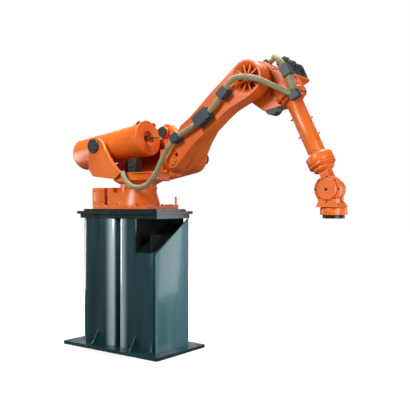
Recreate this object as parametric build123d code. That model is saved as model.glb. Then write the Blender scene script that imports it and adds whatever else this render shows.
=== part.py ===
from build123d import *
import math
import os

os.makedirs("parts", exist_ok=True)

# All sizes in millimetres. +X points from the pedestal to the tool, +Z is up,
# and the arm moves in the XZ plane. The origin is the point of the floor below axis 1.

# Kinematics: the six axes at rest
pedestal_height = 1650.0
axis2_reach = 682.0
axis2_height = 589.0
lower_arm_length = 1268.0
lower_arm_lean = 54.6
elbow_offset = 246.0
forearm_length = 1372.0
forearm_heading = 154.2
flange_drop = 277.0

# Fits shared by several pieces
running_gap = 0.3
overrun = 60.0
edge_round = 8.0

# Balancer line: trunnion on the turret, rod pin on the arm's lug
trunnion_x = -450.0
trunnion_height = 758.0
lug_side = 365.0
lug_along = -6.0

# Pedestal
column_depth = 570.0
left_tube_width = 595.0
right_tube_width = 600.0
tube_slot = 12.0
tube_corner = 95.0
tube_wall = 16.0
slot_x = -89.0
foot_thickness = 40.0
foot_margin = 150.0
anchor_radius = 17.0
anchor_edge = 60.0
collar_height = 50.0
collar_margin = 8.0
top_plate_thickness = 35.0
top_plate_margin = 36.0
adaptor_thickness = 25.0
adaptor_inset = 22.0
side_plate_thickness = 20.0
notch_width = 302.0
notch_near_drop = 395.0
notch_far_drop = 45.0
liner_thickness = 12.0
rib_thickness = 12.0
rib_height = 205.0
rib_from_side = 70.0
gusset_thickness = 15.0
gusset_height = 160.0
gusset_reach = 110.0

# Robot base
base_rear = 535.0
base_front = 392.0
base_half_width = 275.0
base_plate_thickness = 34.0
base_corner = 55.0
base_height = 235.0
cone_foot_radius = 268.0
cone_top_radius = 218.0
rear_box_half_width = 240.0
rear_box_rear = 305.0
rear_box_height = 253.0
rear_box_round = 40.0
rear_notch_front = 72.0
rear_notch_length = 116.0
rear_notch_depth = 60.0
rear_notch_reach = 70.0
connector_half_width = 246.0
connector_gap = 26.0
connector_neck_half = 200.0
connector_neck_height = 88.0
foot_pad_length = 120.0
foot_pad_width = 130.0
foot_pad_height = 52.0
foot_boss_radius = 27.0
foot_boss_height = 14.0
foot_boss_edge = 40.0
pin_radius = 11.0
pin_height = 95.0

# Turret
ring_radius = 224.0
ring_height = 27.0
neck_radius = 216.0
bell_radius = 300.0
bell_low = 292.0
bell_high = 346.0
deck_bottom = 335.0
deck_top = 425.0
deck_rear = 470.0
deck_rear_bottom = 391.0
deck_flat = 125.0
deck_front = 325.0
deck_half_width = 262.0
deck_corner = 100.0
tongue_front = 488.0
tongue_far = 12.0
tongue_corner = 30.0
deck_channel_depth = 20.0
deck_channel_rear = 75.0
deck_flange = 14.0
cheek_thickness = 40.0
cheek_rear = 543.0
cheek_boss_radius = 93.0
crown_angle = 60.0
trunnion_radius = 45.0
trunnion_cap_radius = 84.0
trunnion_cap_thickness = 26.0
wing_thickness = 90.0
wing_radius = 172.0
wing_root = 60.0
wing_foot_front = 400.0
post_rear = 290.0
post_thickness = 40.0
post_near = 60.0
post_top = 700.0
brace_near = -28.0
brace_thickness = 40.0
brace_tip = 470.0
brace_tip_high = 460.0
axis2_motor_radius = 72.0
axis2_motor_length = 170.0
axis1_motor_side = 118.0
axis1_motor_height = 150.0
axis1_motor_x = 104.0
axis1_motor_y = -176.0
gland_length = 60.0
gland_height = 74.0
gland_depth = 40.0

# Balancer
barrel_radius = 197.0
barrel_front = 560.0
barrel_rear = 480.0
barrel_band_length = 62.0
barrel_band_radius = 207.0
dome_length = 105.0
dome_share = 0.71
flange_radius = 214.0
flange_thickness = 57.0
recess_radius = 84.0
recess_step_radius = 64.0
recess_step_depth = 20.0
recess_depth = 47.0
rod_radius = 28.0
rod_inner_end = 250.0
bore_inner_end = 30.0
trunnion_boss_radius = 78.0
clip_width = 46.0
clip_depth = 34.0
clip_height = 16.0
flange_clip_angle = 38.0
eye_radius = 62.0
fork_cheek = 38.0
fork_gap_half = 58.0
fork_neck = 130.0
fork_bridge = 28.0
rod_cap_radius = 56.0
rod_cap_thickness = 20.0

# Lower arm
arm_near = -290.0
arm_far = -100.0
drum_far = 140.0
drum_radius = 190.0
arm_end_radius = 178.0
groove_y = 26.0
groove_width = 12.0
groove_depth = 8.0
root_boss_along = 40.0
root_boss_side = -95.0
root_boss_radius = 85.0
root_notch_along = 120.0
root_notch_side = -80.0
root_notch_size = 44.0
root_notch_depth = 40.0
dish_radius = 160.0
dish_floor_radius = 78.0
dish_depth = 105.0
dish_hub_radius = 50.0
dish_hub_drop = 42.0
dish_rib = 12.0
dish_rib_drop = 26.0
dish_ribs = 10
lug_radius = 62.0
lug_half_width = 50.0
lug_root_half = 140.0
lug_head_radius = 75.0
lug_head_along = 16.0
lug_head_side = 371.0
axis2_cover_radius = 58.0
axis2_cover_thickness = 14.0
hose_radius = 29.0
hose_stand_off = 55.0
clamp_wall = 16.0

# Upper arm
gear_ring_radius = 170.0
gear_ring_far = -60.0
elbow_drum_radius = 202.0
elbow_near = -60.0
elbow_far = 150.0
elbow_far_radius = 150.0
elbow_far_cover = 22.0
rear_plate_along = 195.0
rear_plate_thickness = 20.0
rear_plate_low = 272.0
rear_plate_high = 402.0
rear_plate_near = -132.0
rear_plate_far = 258.0
root_radius = 150.0
root_ring_along = 300.0
root_ring_radius = 156.0
root_ring_width = 50.0
root_step_radius = 127.0
tube_root = 378.0
tube_radius = 86.0
axis3_motor_radius = 76.0
axis3_motor_along = 330.0
axis3_motor_side = 20.0
axis3_motor_near = -58.0
axis3_motor_far = 45.0
rear_motor_side = 112.0
rear_motor_length = 205.0
rear_motor_step = 18.0
rear_motor_rise = 337.0
rear_motor_near = -54.0
rear_motor_pitch = 122.0
boss_bar_length = 96.0
boss_bar_width = 30.0
boss_bar_height = 14.0
peg_radius = 9.0
peg_length = 26.0
sleeve_radius = 43.0

# Wrist
collar_radius = 134.0
collar_start = 398.0
collar_shoulder = 360.0
collar_end = 262.0
collar_groove = 290.0
collar_groove_width = 10.0
collar_groove_depth = 7.0
roll_ring_radius = 116.0
roll_ring_step = 248.0
roll_groove_radius = 100.0
roll_groove_width = 8.0
roll_lip_radius = 106.0
roll_lip_end = 220.0
roll_ring_end = 206.0
roll_ring_tip_radius = 84.0
neck_half_width = 46.0
hub_radius = 98.0
hub_half_width = 61.0
disc_radius = 130.0
disc_near = -150.0
disc_cover_radius = 103.0
disc_cover_height = 14.0
disc_groove_depth = 8.0
disc_groove_width = 7.0
far_disc_radius = 74.0
far_disc_far = 110.0
far_plate_half = 56.0
bridge_throat = 104.0
bridge_throat_half = 60.0
bridge_start = 126.0
bridge_end = 168.0
bridge_half = 92.0
wrist_ring_radius = 129.0
wrist_ring_end = 243.0
wrist_ring_chamfer = 9.0
tool_flange_radius = 105.0
tool_bore_radius = 50.0
tool_bore_depth = 12.0
tool_hole_circle = 160.0
tool_hole_radius = 5.5
tool_hole_depth = 20.0
tool_holes = 8


def save(node, shape):
    """Write one node's STEP file."""
    export_step(shape, os.path.join("parts", node + ".step"))


def side_frame(x, z, heading):
    """A frame at x, z in the arm's plane: its X runs along the heading from vertical, its Z points to -Y."""
    turn = math.radians(heading)
    return Plane(origin=(x, 0, z), x_dir=(math.sin(turn), 0, math.cos(turn)), z_dir=(0, -1, 0))


def slab(frame, sketch, y_low, y_high):
    """The sketch, drawn in a side frame, as a plate between two values of Y."""
    return frame.offset(-y_high) * extrude(sketch, y_high - y_low)


def disc(radius, along=0.0, side=0.0):
    """A full circle in a side frame."""
    return Pos(along, side) * Circle(radius)


def outline(*points):
    """A flat face with straight sides."""
    return make_face(Polyline(*points, close=True))


def turned(frame, points):
    """A body of revolution about a side frame's X, from its half outline."""
    return frame * revolve(outline(*points), Axis.X)


def cross_turned(spot, points):
    """A body of revolution about the line along Y through a spot x, z, from its outline as y, radius."""
    frame = Plane(origin=(spot[0], 0, spot[1]), x_dir=(0, 1, 0), z_dir=(1, 0, 0))
    return frame * revolve(outline(*points), Axis.X)


# The places that the kinematics give
axis2 = (axis2_reach, pedestal_height + axis2_height)
arm_turn = math.radians(lower_arm_lean)
elbow = (
    axis2[0] + lower_arm_length * math.sin(arm_turn),
    axis2[1] + lower_arm_length * math.cos(arm_turn),
)
fore_turn = math.radians(forearm_heading)
wrist = (
    elbow[0] + forearm_length * math.sin(fore_turn) - elbow_offset * math.cos(fore_turn),
    elbow[1] + forearm_length * math.cos(fore_turn) + elbow_offset * math.sin(fore_turn),
)
trunnion = (trunnion_x, pedestal_height + trunnion_height)
rod_pin = (
    axis2[0] + lug_along * math.sin(arm_turn) - lug_side * math.cos(arm_turn),
    axis2[1] + lug_along * math.cos(arm_turn) + lug_side * math.sin(arm_turn),
)
balancer_length = math.hypot(rod_pin[0] - trunnion[0], rod_pin[1] - trunnion[1])
balancer_heading = math.degrees(math.atan2(rod_pin[0] - trunnion[0], rod_pin[1] - trunnion[1]))

side_view = Plane(origin=(0, 0, 0), x_dir=(1, 0, 0), z_dir=(0, -1, 0))
arm_frame = side_frame(*axis2, lower_arm_lean)
elbow_frame = side_frame(*elbow, forearm_heading)
roll_frame = side_frame(*wrist, forearm_heading)
roll_axis_frame = side_frame(
    elbow[0] - elbow_offset * math.cos(fore_turn),
    elbow[1] + elbow_offset * math.sin(fore_turn),
    forearm_heading,
)
tool_frame = side_frame(*wrist, 180.0)
balancer_frame = side_frame(*trunnion, balancer_heading)

# Foot plate with four anchor holes
column_left = slot_x - tube_slot / 2 - left_tube_width
column_right = slot_x + tube_slot / 2 + right_tube_width
column_middle = (column_left + column_right) / 2
column_length = column_right - column_left
column_half_depth = column_depth / 2
foot_length = column_length + 2 * foot_margin
foot_width = column_depth + 2 * foot_margin
anchor_x = foot_length / 2 - anchor_edge
anchor_y = foot_width / 2 - anchor_edge
foot_sketch = Rectangle(foot_length, foot_width)
for sign_x in (-1, 1):
    for sign_y in (-1, 1):
        foot_sketch -= Pos(sign_x * anchor_x, sign_y * anchor_y) * Circle(anchor_radius)
foot_plate = Pos(column_middle, 0, 0) * extrude(foot_sketch, foot_thickness)
save("foot_plate", foot_plate)

# Two deep box tubes side by side with a slot between them
collar_low = pedestal_height - adaptor_thickness - top_plate_thickness - collar_height
tube_height = collar_low - foot_thickness


def box_tube(width, x_middle):
    """A rounded box tube that stands on the foot plate, and its inside."""
    skin = RectangleRounded(width, column_depth, tube_corner)
    inside = RectangleRounded(width - 2 * tube_wall, column_depth - 2 * tube_wall, tube_corner - tube_wall)
    place = Pos(x_middle, 0, foot_thickness)
    return place * extrude(skin - inside, tube_height), place * extrude(inside, tube_height)


left_tube = box_tube(left_tube_width, column_left + left_tube_width / 2)[0]
save("column_tube_left", left_tube)

right_tube, right_inside = box_tube(right_tube_width, column_right - right_tube_width / 2)
notch_left = column_right - notch_width
notch_near = -column_half_depth - overrun
notch_far = column_half_depth - tube_wall
slope = (notch_near_drop - notch_far_drop) / column_depth


def across(points, x_low, x_high):
    """A YZ outline as a prism between two values of X."""
    return Plane.YZ.offset(x_low) * extrude(outline(*points), x_high - x_low)


def notch_floor(y):
    """Height of the notch's sloping floor at a depth y."""
    return collar_low - notch_near_drop + slope * (y + column_half_depth)


# The notch gives access to the bolts of the base: its floor rises towards the far wall, which stays whole
notch = across(
    (
        (notch_near, notch_floor(notch_near)),
        (notch_far, notch_floor(notch_far)),
        (notch_far, collar_low + overrun),
        (notch_near, collar_low + overrun),
    ),
    notch_left,
    column_right + overrun,
)
save("column_tube_right", right_tube - notch)

# Sheet that closes the notch: a sloping floor and a side wall inside the tube
floor_sheet = across(
    (
        (notch_near, notch_floor(notch_near)),
        (notch_far, notch_floor(notch_far)),
        (notch_far, notch_floor(notch_far) - liner_thickness),
        (notch_near, notch_floor(notch_near) - liner_thickness),
    ),
    notch_left - liner_thickness,
    column_right,
)
wall_sheet = across(
    (
        (notch_near, notch_floor(notch_near)),
        (notch_far, notch_floor(notch_far)),
        (notch_far, collar_low),
        (notch_near, collar_low),
    ),
    notch_left - liner_thickness,
    notch_left,
)

# Gusset rib that stands on the sloping floor
rib_right = column_right - rib_from_side
rib_near = -column_half_depth + tube_wall
rib_far = rib_near + rib_height / slope / 2
rib = across(
    (
        (rib_near, notch_floor(rib_near)),
        (rib_near, notch_floor(rib_near) + rib_height),
        (rib_far, notch_floor(rib_near) + rib_height),
        (rib_far, notch_floor(rib_far)),
    ),
    rib_right - rib_thickness,
    rib_right,
)
save("notch_liner", ((floor_sheet + wall_sheet) & right_inside) + (rib & right_inside))

# Flat side plate with its top cut along the notch
side_plate = across(
    (
        (-column_half_depth, foot_thickness),
        (column_half_depth, foot_thickness),
        (column_half_depth, notch_floor(column_half_depth)),
        (-column_half_depth, notch_floor(-column_half_depth)),
    ),
    column_right,
    column_right + side_plate_thickness,
)
save("side_plate", side_plate)

# Gussets between the foot plate and the long sides of the tubes
gussets = []
for x_middle in (column_left + left_tube_width / 2, column_right - right_tube_width / 2):
    for sign_y in (-1, 1):
        wall_y = sign_y * column_half_depth
        tip_y = sign_y * (column_half_depth + gusset_reach)
        gusset_points = (
            (wall_y, foot_thickness),
            (tip_y, foot_thickness),
            (wall_y, foot_thickness + gusset_height),
        )
        gussets.append(
            across(gusset_points, x_middle - gusset_thickness / 2, x_middle + gusset_thickness / 2)
        )
save("foot_gussets", Compound(children=gussets))

# Collar, top plate and adaptor plate
head_right = column_right + side_plate_thickness
head_middle = (column_left + head_right) / 2
head_length = head_right - column_left


def head_plate(margin, bottom, thickness):
    """A flat plate over the column, wider than it by the margin on every side."""
    shape = Box(head_length + 2 * margin, column_depth + 2 * margin, thickness)
    return Pos(head_middle, 0, bottom + thickness / 2) * shape


save("column_collar", head_plate(collar_margin, collar_low, collar_height))
plate_low = collar_low + collar_height
save("top_plate", head_plate(top_plate_margin, plate_low, top_plate_thickness))
adaptor_low = plate_low + top_plate_thickness
save("adaptor_plate", head_plate(-adaptor_inset, adaptor_low, adaptor_thickness))


def block(x_low, x_high, y_low, y_high, z_low, z_high):
    """A box between six planes."""
    middle = Pos((x_low + x_high) / 2, (y_low + y_high) / 2, (z_low + z_high) / 2)
    return middle * Box(x_high - x_low, y_high - y_low, z_high - z_low)


# Base casting: a flanged foot, a box at the rear and a cone up to the slewing ring
foot_top = pedestal_height + base_plate_thickness
base_top = pedestal_height + base_height
base_foot = Pos((base_front - base_rear) / 2, 0, pedestal_height) * extrude(
    RectangleRounded(base_front + base_rear, 2 * base_half_width, base_corner), base_plate_thickness
)
cone = turned(
    Plane(origin=(0, 0, pedestal_height), x_dir=(0, 0, 1), z_dir=(0, -1, 0)),
    (
        (base_plate_thickness, 0),
        (base_plate_thickness, cone_foot_radius),
        (base_height - base_plate_thickness, cone_top_radius),
        (base_height, cone_top_radius),
        (base_height, 0),
    ),
)
rear_box = Pos(-rear_box_rear / 2, 0, foot_top) * extrude(
    RectangleRounded(rear_box_rear, 2 * rear_box_half_width, rear_box_round),
    rear_box_height - base_plate_thickness,
)
ring_room = Pos(0, 0, base_top) * Cylinder(
    ring_radius + edge_round, rear_box_height, align=(Align.CENTER, Align.CENTER, Align.MIN)
)
rear_notch = block(
    -rear_notch_front - rear_notch_length,
    -rear_notch_front,
    -rear_box_half_width - overrun,
    -rear_box_half_width + rear_notch_reach,
    pedestal_height + rear_box_height - rear_notch_depth,
    pedestal_height + rear_box_height + overrun,
)
base_casting = base_foot + cone + (rear_box - ring_room - rear_notch)
foot_boss_shares = (-0.82, -0.5, -0.15, 0.2, 0.52, 0.82)
for share in foot_boss_shares:
    for sign_y in (-1, 1):
        boss_x = (base_front - base_rear) / 2 + share * (base_front + base_rear) / 2
        boss_spot = Pos(boss_x, sign_y * (base_half_width - foot_boss_edge), foot_top)
        base_casting += boss_spot * Cylinder(
            foot_boss_radius, foot_boss_height, align=(Align.CENTER, Align.CENTER, Align.MIN)
        )
for sign_y in (-1, 1):
    pad_y = sign_y * (base_half_width - foot_pad_width / 2)
    base_casting += block(
        base_front - foot_pad_length,
        base_front,
        pad_y - foot_pad_width / 2,
        pad_y + foot_pad_width / 2,
        pedestal_height,
        pedestal_height + foot_pad_height,
    )
save("base_casting", base_casting)

# Connector housing behind the base, joined to it by a narrower duct along its top
connector_front = -rear_box_rear - connector_gap
connector = block(
    -base_rear,
    connector_front,
    -connector_half_width,
    connector_half_width,
    foot_top,
    pedestal_height + rear_box_height,
)
connector_duct = block(
    connector_front,
    -rear_box_rear,
    -connector_neck_half,
    connector_neck_half,
    pedestal_height + rear_box_height - connector_neck_height,
    pedestal_height + rear_box_height,
)
save("connector_box", connector + connector_duct - base_casting)

# Locating pin that stands in the base's front foot
locating_pin = Pos(
    base_front - 2 * pin_radius, base_half_width - 2 * pin_radius, pedestal_height + foot_pad_height
) * Cylinder(pin_radius, pin_height, align=(Align.CENTER, Align.CENTER, Align.MIN))
save("locating_pin", locating_pin)

# Slewing ring: its fixed half
slew_ring = Pos(0, 0, base_top) * Cylinder(
    ring_radius, ring_height, align=(Align.CENTER, Align.CENTER, Align.MIN)
)
save("slew_ring", slew_ring)

# Turret: the neck flares like a bell into the deck, whose long sides are channels
turret_low = base_height + ring_height + running_gap
bell_line = Polyline(
    (deck_top, bell_radius),
    (deck_top, 0),
    (turret_low, 0),
    (turret_low, neck_radius),
    (bell_low, neck_radius),
)
bell_rise = bell_high - bell_low
bell_flare = bell_radius - neck_radius
bell_middle_share = 0.62
bell_curve = Spline(
    (bell_low, neck_radius),
    (bell_low + bell_rise / 2, neck_radius + bell_flare * bell_middle_share),
    (bell_high, bell_radius),
)
bell_side = Line((bell_high, bell_radius), (deck_top, bell_radius))
upright = Plane(origin=(0, 0, pedestal_height), x_dir=(0, 0, 1), z_dir=(0, -1, 0))
bell = upright * revolve(make_face(bell_line + bell_curve + bell_side), Axis.X)
bell &= block(-bell_radius, bell_radius, -deck_half_width, deck_half_width, 0, 2 * pedestal_height)

deck_low = pedestal_height + deck_bottom
deck_high = pedestal_height + deck_top
deck_rear_low = pedestal_height + deck_rear_bottom
deck_side = slab(
    side_view,
    outline(
        (-deck_rear, deck_rear_low),
        (deck_flat, deck_low),
        (tongue_front, deck_low),
        (tongue_front, deck_high),
        (-deck_rear, deck_high),
    ),
    -deck_half_width,
    deck_half_width,
)
far_plan = Pos((deck_front - deck_rear) / 2, 0) * Rectangle(deck_front + deck_rear, 2 * deck_half_width)
far_plan = fillet(far_plan.vertices().group_by(Axis.X)[-1], deck_corner)
tongue_width = deck_half_width + tongue_far
tongue_plan = Pos(tongue_front / 2, tongue_far - tongue_width / 2) * Rectangle(tongue_front, tongue_width)
tongue_plan = fillet(tongue_plan.vertices().group_by(Axis.X)[-1], tongue_corner)
deck = deck_side & (Pos(0, 0, pedestal_height) * extrude(far_plan + tongue_plan, 2 * deck_top))
for side_y, channel_front in (
    (-deck_half_width, tongue_front - 2 * tongue_corner),
    (deck_half_width, deck_front - deck_corner),
):
    channel_face = outline(
        (deck_channel_rear, deck_low + 2 * deck_flange),
        (channel_front, deck_low + 2 * deck_flange),
        (channel_front, deck_high - deck_flange),
        (deck_channel_rear, deck_high - deck_flange),
    )
    deck -= slab(side_view, channel_face, side_y - deck_channel_depth, side_y + deck_channel_depth)

# Far bearing wing of axis 2, with a post behind it and a brace on the deck's front
wing_near = drum_far + running_gap
wing_far = wing_near + wing_thickness
wing_foot = outline(
    (wing_root, deck_low + deck_flange),
    (deck_front, deck_low + deck_flange),
    (wing_foot_front, deck_high),
    (wing_root, deck_high),
)
wing_face = make_hull((disc(wing_radius, *axis2) + wing_foot).edges())
wing = slab(side_view, wing_face, wing_near, wing_far)
post = block(
    post_rear,
    post_rear + post_thickness,
    post_near,
    wing_near,
    deck_high - deck_flange,
    pedestal_height + post_top,
)
brace = slab(
    side_view,
    outline(
        (deck_front - deck_corner, deck_low + deck_flange),
        (brace_tip, deck_low + deck_flange),
        (brace_tip, pedestal_height + brace_tip_high),
        (deck_front, deck_high),
        (deck_front - deck_corner, deck_high),
    ),
    brace_near,
    brace_near + brace_thickness,
)
save("turret_casting", bell + deck + wing + post + brace)

# Cheeks that carry the balancer's trunnions
cheek_inner = deck_half_width
cheek_outer = deck_half_width + cheek_thickness
cheek_line = Polyline(
    (-deck_rear, deck_rear_low),
    (-cheek_rear, trunnion[1] - 3 * cheek_boss_radius),
    (-cheek_rear, trunnion[1]),
)
crown_turn = math.radians(crown_angle)
tail_x = trunnion[0] + cheek_boss_radius / 3
tail_z = trunnion[1] + cheek_boss_radius
crown = ThreePointArc(
    (-cheek_rear, trunnion[1]),
    (
        trunnion[0] - cheek_boss_radius * math.cos(crown_turn),
        trunnion[1] + cheek_boss_radius * math.sin(crown_turn),
    ),
    (tail_x, tail_z),
)
cheek_tail_shares = ((0.18, 0.93), (0.36, 0.68), (0.52, 0.46), (0.75, 0.2), (1.0, 0.0))
tail_run = -tail_x
tail_drop = tail_z - deck_high
tail = Spline(
    (tail_x, tail_z),
    *[(tail_x + a * tail_run, deck_high + b * tail_drop) for a, b in cheek_tail_shares],
)
closing = Polyline(
    (tail_x + tail_run, deck_high),
    (-neck_radius / 2, deck_low + deck_flange),
    (-deck_rear, deck_rear_low),
)
cheek_face = make_face(cheek_line + crown + tail + closing)
cheek_face -= disc(trunnion_radius + running_gap, *trunnion)
save("cheek_near", slab(side_view, cheek_face, -cheek_outer, -cheek_inner))
save("cheek_far", slab(side_view, cheek_face, cheek_inner, cheek_outer))
cap_face = disc(trunnion_cap_radius, *trunnion)
trunnion_caps = [
    slab(side_view, cap_face, -cheek_outer - trunnion_cap_thickness, -cheek_outer),
    slab(side_view, cap_face, cheek_outer, cheek_outer + trunnion_cap_thickness),
]
save("trunnion_caps", Compound(children=trunnion_caps))

# Motors of axis 1 and axis 2
axis1_motor = Pos(axis1_motor_x, axis1_motor_y, deck_high) * extrude(
    RectangleRounded(axis1_motor_side, axis1_motor_side, edge_round), axis1_motor_height
)
save("axis1_motor", axis1_motor)
axis2_motor = slab(side_view, disc(axis2_motor_radius, *axis2), wing_far, wing_far + axis2_motor_length)
save("axis2_motor", axis2_motor)

# Gland where the hose leaves the turret
gland_middle = deck_high - gland_height / 3
gland = block(
    0,
    gland_length,
    -deck_half_width - gland_depth,
    -deck_half_width,
    gland_middle - gland_height / 2,
    gland_middle + gland_height / 2,
)
save("hose_gland", gland)

# Balancer barrel with its domed rear end and a band behind the flange, bored for the rod
dome_arc = ThreePointArc(
    (-barrel_rear - dome_length, 0),
    (-barrel_rear - dome_length * dome_share, barrel_radius * dome_share),
    (-barrel_rear, barrel_radius),
)
band_rear = barrel_front - barrel_band_length
barrel_line = Polyline(
    (-barrel_rear, barrel_radius),
    (band_rear - edge_round, barrel_radius),
    (band_rear, barrel_band_radius),
    (barrel_front, barrel_band_radius),
    (barrel_front, rod_radius + running_gap),
    (bore_inner_end, rod_radius + running_gap),
    (bore_inner_end, 0),
    (-barrel_rear - dome_length, 0),
)
barrel = balancer_frame * revolve(make_face(dome_arc + barrel_line), Axis.X)
boss_end = cheek_inner - running_gap
pin_end = cheek_outer - running_gap
barrel_bosses = slab(balancer_frame, disc(trunnion_boss_radius), -boss_end, boss_end)
barrel_pins = slab(balancer_frame, disc(trunnion_radius), -pin_end, pin_end)
barrel_bore = turned(
    balancer_frame,
    (
        (bore_inner_end, 0),
        (bore_inner_end, rod_radius + running_gap),
        (barrel_front, rod_radius + running_gap),
        (barrel_front, 0),
    ),
)
save("balancer_barrel", barrel + barrel_bosses + barrel_pins - barrel_bore)

# Front flange with a stepped recess round the rod
flange_front = barrel_front + flange_thickness
recess_floor = flange_front - recess_depth
front_flange = turned(
    balancer_frame,
    (
        (barrel_front, rod_radius + running_gap),
        (barrel_front, flange_radius),
        (flange_front - edge_round, flange_radius),
        (flange_front, flange_radius - edge_round),
        (flange_front, recess_radius),
        (recess_floor + recess_step_depth, recess_radius),
        (recess_floor + recess_step_depth, recess_step_radius),
        (recess_floor, recess_step_radius),
        (recess_floor, rod_radius + running_gap),
    ),
)
save("balancer_flange", front_flange)
clips = []
for sign_y in (-1, 1):
    clip_spot = Pos(flange_front - clip_depth / 2, 0, 0) * Rot(sign_y * flange_clip_angle, 0, 0)
    clip = Box(clip_depth, clip_height, clip_width, align=(Align.CENTER, Align.MIN, Align.CENTER))
    clips.append(balancer_frame * clip_spot * Pos(0, flange_radius, 0) * clip)
save("flange_clips", Compound(children=clips))

# Rod with its fork, which straddles the lug of the lower arm
bridge_front = balancer_length - fork_neck
bridge_rear = bridge_front - fork_bridge
rod = turned(
    balancer_frame,
    ((rod_inner_end, 0), (rod_inner_end, rod_radius), (bridge_rear, rod_radius), (bridge_rear, 0)),
)
save("balancer_rod", rod)
fork_far = fork_gap_half + fork_cheek
fork_root = outline(
    (bridge_rear, -eye_radius / 2),
    (bridge_front, -eye_radius / 2),
    (bridge_front, eye_radius / 2),
    (bridge_rear, eye_radius / 2),
)
fork_face = make_hull((disc(eye_radius, balancer_length) + fork_root).edges())
fork_near = slab(balancer_frame, fork_face, -fork_far, -fork_gap_half)
fork_other = slab(balancer_frame, fork_face, fork_gap_half, fork_far)
bridge = slab(balancer_frame, fork_root, -fork_gap_half, fork_gap_half)
save("rod_fork", fork_near + fork_other + bridge)
rod_cap_face = disc(rod_cap_radius, balancer_length)
rod_caps = [
    slab(balancer_frame, rod_cap_face, -fork_far - rod_cap_thickness, -fork_far),
    slab(balancer_frame, rod_cap_face, fork_far, fork_far + rod_cap_thickness),
]
save("rod_caps", Compound(children=rod_caps))

# Lower arm: one casting. Its side outline swells to the drum of axis 2 and to a round end at the elbow
root_share = 0.27
root_upper_share = 0.745
root_lower_share = -0.7
root_turn = 20.0
upper_edge_shares = ((0.16, 0.87), (root_share, root_upper_share), (0.48, 0.725), (0.66, 0.83), (0.86, 0.88))
lower_edge_shares = (
    (0.9, -0.88),
    (0.72, -0.65),
    (0.5, -0.68),
    (root_share, root_lower_share),
    (0.17, -0.8),
    (0.09, -0.95),
)
upper_edge = Spline(
    (0, drum_radius),
    *[(a * lower_arm_length, b * drum_radius) for a, b in upper_edge_shares],
    (lower_arm_length, arm_end_radius),
)
end_arc = ThreePointArc(
    (lower_arm_length, arm_end_radius),
    (lower_arm_length + arm_end_radius, 0),
    (lower_arm_length, -arm_end_radius),
)
lower_edge = Spline(
    (lower_arm_length, -arm_end_radius),
    *[(a * lower_arm_length, b * drum_radius) for a, b in lower_edge_shares],
    (0, -drum_radius),
)
drum_arc = ThreePointArc((0, -drum_radius), (-drum_radius, 0), (0, drum_radius))
arm_face = make_face(upper_edge + end_arc + lower_edge + drum_arc)

# The far part is as thick as the drum at the root and thins along the plan curve
far_part = slab(arm_frame, arm_face, arm_far, drum_far)
plan_shares = ((0.1, 1.0), (0.23, 0.7), (0.33, 0.4), (0.48, 0.0))
plan_run = drum_far - arm_far
plan_rear = -drum_radius - overrun
plan_points = [(plan_rear, arm_far - overrun), (plan_rear, drum_far + overrun)]
plan_points.append((plan_shares[0][0] * lower_arm_length, drum_far + overrun))
plan_points += [(a * lower_arm_length, arm_far + b * plan_run) for a, b in plan_shares]
plan_points.append((plan_shares[-1][0] * lower_arm_length, arm_far - overrun))
arm_plan = Plane(
    origin=arm_frame.origin + arm_frame.y_dir * 2 * drum_radius,
    x_dir=arm_frame.x_dir,
    z_dir=-arm_frame.y_dir,
)
plan_face = outline(*[(a, b * arm_plan.y_dir.Y) for a, b in plan_points])
far_part &= arm_plan * extrude(plan_face, 4 * drum_radius)

# The near part is the beam itself; its root tapers from the drum down to a boss
root_along = root_share * lower_arm_length
root_upper = (root_along, root_upper_share * drum_radius)
root_lower = (root_along, root_lower_share * drum_radius)
beam_reach = lower_arm_length + arm_end_radius + overrun - root_along
beam_cut = Pos(root_along + beam_reach / 2, 0) * Rectangle(beam_reach, 4 * drum_radius)
beam = slab(arm_frame, arm_face & beam_cut, arm_near, arm_far)


def root_section(along, side, radius, y):
    """The root's outline at one Y: a round end joined by straight edges to the beam's start."""
    turn = math.radians(root_turn)
    tip = ThreePointArc(
        (along - radius * math.sin(turn), side + radius * math.cos(turn)),
        (along - radius * math.cos(turn), side - radius * math.sin(turn)),
        (along, side - radius),
    )
    lower = Line((along, side - radius), root_lower)
    start = Line(root_lower, root_upper)
    upper = Line(root_upper, (along - radius * math.sin(turn), side + radius * math.cos(turn)))
    return arm_frame.offset(-y) * make_face(tip + lower + start + upper)


root = loft(
    [
        root_section(root_boss_along, root_boss_side, root_boss_radius, arm_near),
        root_section(0, 0, drum_radius, arm_far),
    ],
    ruled=True,
)
lug_root = outline(
    (-lug_root_half, 0),
    (lug_root_half, 0),
    (lug_root_half, drum_radius / 2),
    (-lug_root_half, drum_radius / 2),
)
lug_head = disc(lug_radius, lug_along, lug_side) + disc(lug_head_radius, lug_head_along, lug_head_side)
lug_face = make_hull((lug_head + lug_root).edges())
lug = slab(arm_frame, lug_face, -lug_half_width, lug_half_width)
lower_arm = far_part + beam + root + lug

# Groove round the drum and the notch beside the root's boss
groove_floor = drum_radius - groove_depth
lower_arm -= cross_turned(
    axis2,
    (
        (groove_y, groove_floor),
        (groove_y, drum_radius + groove_depth),
        (groove_y + groove_width, drum_radius + groove_depth),
        (groove_y + groove_width, groove_floor),
    ),
)
notch_face = RectangleRounded(root_notch_size, root_notch_size, edge_round)
root_notch = Pos(root_notch_along, root_notch_side) * notch_face
lower_arm -= slab(arm_frame, root_notch, arm_near - overrun, arm_near + root_notch_depth)

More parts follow.
